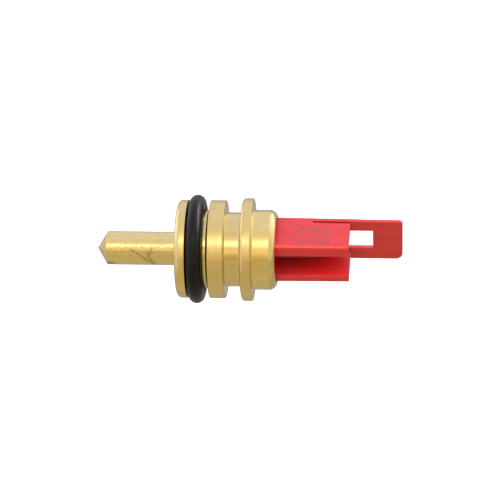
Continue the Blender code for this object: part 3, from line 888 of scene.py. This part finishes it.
def floor_material():
    """White to the camera, and a coloured table to every other ray."""
    mat = bpy.data.materials.new("pale_floor")
    mat.use_nodes = True
    n = Nodes(mat.node_tree)
    n.nodes.remove(n.nodes["Principled BSDF"])
    seen = n.add("ShaderNodeLightPath").outputs["Is Camera Ray"]
    white = n.add("ShaderNodeBsdfDiffuse", {"Color": (0.93, 0.93, 0.93, 1)}).outputs[0]
    glow = n.add("ShaderNodeEmission", {"Color": (1, 1, 1, 1), "Strength": 0.22}).outputs[0]
    bright = n.add("ShaderNodeAddShader", {0: white, 1: glow}).outputs[0]
    y, x = [
        n.split(n.add("ShaderNodeNewGeometry").outputs["Position"])[axis] for axis in (1, 0)
    ]
    start, end = TABLE_Y
    stops = [((place - start) / (end - start), colour) for place, colour in TABLE_COLOURS]
    table = n.gradient(n.ramp(y, span=TABLE_Y, linear=True), stops)
    # towards the two ends
    table = n.mix(n.ramp(x, span=(-0.05, -0.14)), table, to=(0.73, 0.65, 0.65))
    table = n.mix(n.ramp(x, span=(0.04, 0.14)), table, to=(0.46, 0.42, 0.33))
    # painted shadow: a darker band below the connector
    off_centre = n.math("ABSOLUTE", n.plus(y, 0.004))
    shade = n.mul(n.ramp(x, span=(0.004, 0.009)), n.ramp(off_centre, span=(0.032, 0.014)))
    table = n.mix(shade, table, to=(0.10, 0.08, 0.07), opacity=0.15)
    unseen = n.add("ShaderNodeEmission", {"Color": table, "Strength": 1.0}).outputs[0]
    both = n.add("ShaderNodeMixShader", {0: seen, 1: unseen, 2: bright}).outputs[0]
    n.put(n.nodes["Material Output"].inputs["Surface"], both)
    return mat


bm = bmesh.new()
bmesh.ops.create_grid(bm, x_segments=1, y_segments=1, size=FLOOR_HALF)
floor_mesh = bpy.data.meshes.new("floor")
bm.to_mesh(floor_mesh)
bm.free()
floor = add_object("floor", floor_mesh)
floor.location.z = FLOOR_Z
floor_mesh.materials.append(floor_material())

# ---------------------------------------------------------------- light tent
# (degrees round the X axis from the front over the top to the back, colour)
TENT = [
    (0, (0.59, 0.49, 0.30)), (5, (0.55, 0.43, 0.24)), (11, (0.58, 0.44, 0.22)),
    (17, (0.69, 0.53, 0.27)), (24, (0.87, 0.68, 0.38)), (28, (1.03, 0.84, 0.54)),
    (30.5, (1.22, 1.00, 0.68)), (33, (1.03, 0.84, 0.52)), (37, (0.93, 0.77, 0.45)),
    (42, (1.02, 0.89, 0.62)), (46.5, (1.15, 1.08, 0.90)), (49.5, (1.70, 1.66, 1.42)),
    (52, (2.50, 2.45, 2.10)), (58, (2.50, 2.45, 2.10)), (61, (1.75, 1.70, 1.45)),
    (64.5, (1.18, 1.10, 0.92)), (69, (1.04, 0.95, 0.77)), (75, (0.94, 0.84, 0.72)),
    (82, (0.85, 0.78, 0.74)), (90, (0.83, 0.78, 0.81)), (104, (0.86, 0.84, 0.96)),
    (135, (0.83, 0.82, 0.98)), (180, (0.80, 0.82, 0.99)),
]


def light_tent():
    world = bpy.data.worlds.new("studio")
    bpy.context.scene.world = world
    world.use_nodes = True
    n = Nodes(world.node_tree)
    x, y, z = n.split(n.add("ShaderNodeTexCoord").outputs["Generated"])
    angle = n.math("ARCTAN2", z, n.mul(y, -1.0))
    share = n.math("DIVIDE", angle, math.pi, clamp=True)
    light = n.gradient(share, [(degrees / 180, colour) for degrees, colour in TENT])
    # the two ends are brighter and cooler towards the back, and brightest low down there
    low = n.ramp(z, span=(0.60, 0.32))
    right = n.mix(n.ramp(y, span=(-0.45, 0.50)), (0.76, 0.69, 0.62), to=(1.10, 1.09, 1.38))
    right = n.mix(n.mul(n.ramp(y, span=(0.45, 0.65)), low), right, to=(1.50, 1.50, 1.85))
    left = n.mix(n.ramp(y, span=(-0.36, -0.06)), (0.92, 0.88, 0.95), to=(1.20, 1.17, 1.40))
    left = n.mix(n.mul(n.ramp(y, span=(0.05, 0.40)), low), left, to=(1.60, 1.60, 2.05))
    light = n.mix(n.ramp(x, span=(0.20, 0.42)), light, to=right)
    # a duller band before the left end
    light = n.mix(n.ramp(x, span=(-0.20, -0.42)), light, to=(0.72, 0.67, 0.70))
    light = n.mix(n.ramp(x, span=(-0.48, -0.64)), light, to=left)
    # the camera sees plain white
    is_camera = n.add("ShaderNodeLightPath").outputs["Is Camera Ray"]
    background = n.nodes["Background"]
    n.put(background.inputs["Color"], n.mix(is_camera, light, to=(1.0, 1.0, 1.0)))
    n.put(background.inputs["Strength"], 1.0)


light_tent()


# --------------------------------------------------------------------- lamps
def area_lamp(name, size, energy, colour):
    light = bpy.data.lights.new(name, "AREA")
    light.shape = "RECTANGLE"
    light.size, light.size_y = size
    light.energy = energy
    light.color = colour
    lamp = add_object(name, light)
    lamp.visible_camera = False
    return lamp


# a soft box overhead, a little in front, kept out of reflections
soft_box = area_lamp("soft_box", size=(0.5, 0.3), energy=0.95, colour=(1.0, 0.98, 0.97))
soft_box.location = (0.0, -0.10, 0.42)
soft_box.rotation_euler = (math.radians(-13.4), 0.0, 0.0)
soft_box.visible_glossy = False

# a strip above, behind and to the right, for the sheen along the top of the black ring only
strip = area_lamp("ring_strip", size=(0.12, 0.36), energy=1.25, colour=(1.0, 0.96, 1.0))
strip.location = Vector((0.70, 0.51, 0.50)).normalized() * 0.42
strip.rotation_euler = Vector(strip.location).to_track_quat("Z", "X").to_euler()
lit = bpy.data.collections.new("ring_strip_lights")
lit.objects.link(ring)
strip.light_linking.receiver_collection = lit

# -------------------------------------------------------------------- camera
AZIMUTH, ELEVATION, ROLL = math.radians(5.9), math.radians(38.0), math.radians(2.86)
DISTANCE = 0.45
VIEW_WIDTH = 0.07525  # what the picture spans at the origin
SENSOR_WIDTH = 36.0


def add_camera():
    """A camera that looks at the origin from the front, above and a little to the right."""
    towards = Vector(
        (
            math.sin(AZIMUTH) * math.cos(ELEVATION),
            -math.cos(AZIMUTH) * math.cos(ELEVATION),
            math.sin(ELEVATION),
        )
    )
    right = Vector((math.cos(AZIMUTH), math.sin(AZIMUTH), 0.0))
    up = towards.cross(right)
    cos, sin = math.cos(ROLL), math.sin(ROLL)
    right, up = cos * right - sin * up, cos * up + sin * right
    data = bpy.data.cameras.new("camera")
    camera = add_object("camera", data)
    data.sensor_width = SENSOR_WIDTH
    data.lens = SENSOR_WIDTH * DISTANCE / VIEW_WIDTH
    data.clip_start = 0.01
    data.clip_end = 20.0
    data.shift_x = 0.001
    data.shift_y = -0.0008
    turn = Matrix((right, up, towards)).transposed().to_4x4()
    camera.matrix_world = Matrix.Translation(towards * DISTANCE) @ turn
    bpy.context.scene.camera = camera


add_camera()
bpy.context.scene.view_settings.view_transform = "Standard"
bpy.context.scene.view_settings.look = "None"

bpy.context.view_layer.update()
